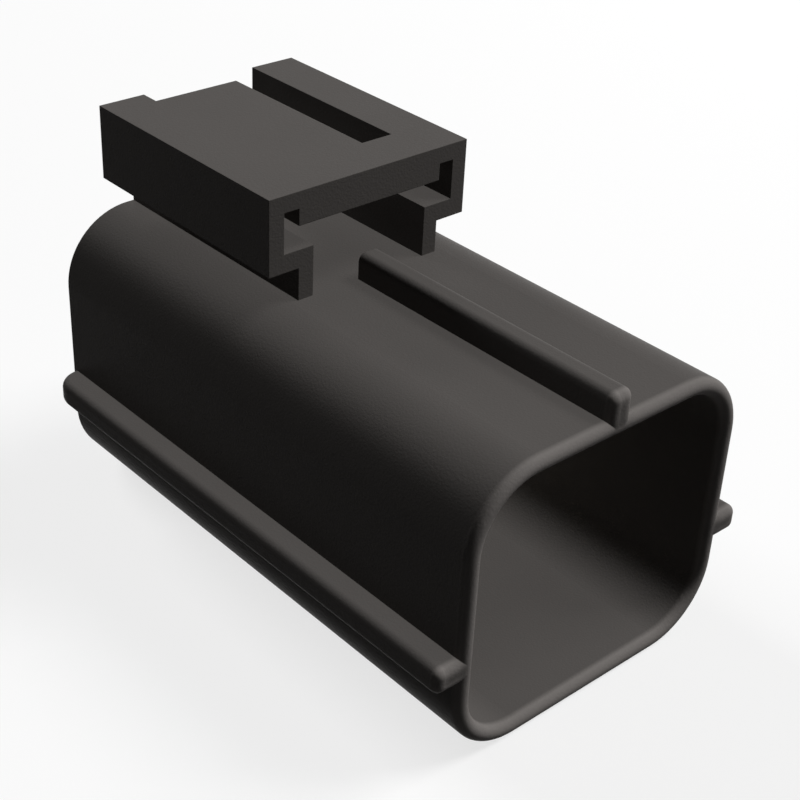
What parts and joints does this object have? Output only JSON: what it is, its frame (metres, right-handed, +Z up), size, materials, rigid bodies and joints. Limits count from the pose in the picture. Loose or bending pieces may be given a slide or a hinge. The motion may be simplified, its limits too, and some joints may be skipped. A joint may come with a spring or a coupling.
{
  "type": "sealed automotive connector",
  "caption": "Male half of a sealed automotive connector: deep rounded hood with guide ribs, clip rail on top, flat tab terminals, wire seals and a sliding secondary lock.",
  "frame": {"origin": "under the middle of the body, on the flat underside that it rests on", "axes": "+Z up, from the underside to the clip rail; the hood opens towards -Y and the wires enter from +Y; +X to the right as seen into the hood"},
  "size_m": [0.0228, 0.035, 0.0238],
  "materials": {
    "housing_plastic": "fine moulded satin",
    "lock_plastic": "natural moulded satin",
    "tinned_brass": "tin plated, stamped",
    "seal_silicone": "soft moulded"
  },
  "bodies": {
    "connector": {"housing": "housing_plastic", "tab_terminal_1": "tinned_brass", "tab_terminal_2": "tinned_brass", "tab_terminal_3": "tinned_brass", "tab_terminal_4": "tinned_brass", "tab_terminal_5": "tinned_brass", "tab_terminal_6": "tinned_brass", "wire_seal_1": "seal_silicone", "wire_seal_2": "seal_silicone", "wire_seal_3": "seal_silicone", "wire_seal_4": "seal_silicone", "wire_seal_5": "seal_silicone", "wire_seal_6": "seal_silicone"},
    "lock": {"secondary_lock": "lock_plastic"}
  },
  "joints": [
    {"name": "lock_slide", "type": "slide", "parent": "connector", "child": "lock", "axis": [0, -1, 0], "range_m": [0, 0.0018]}
  ]
}
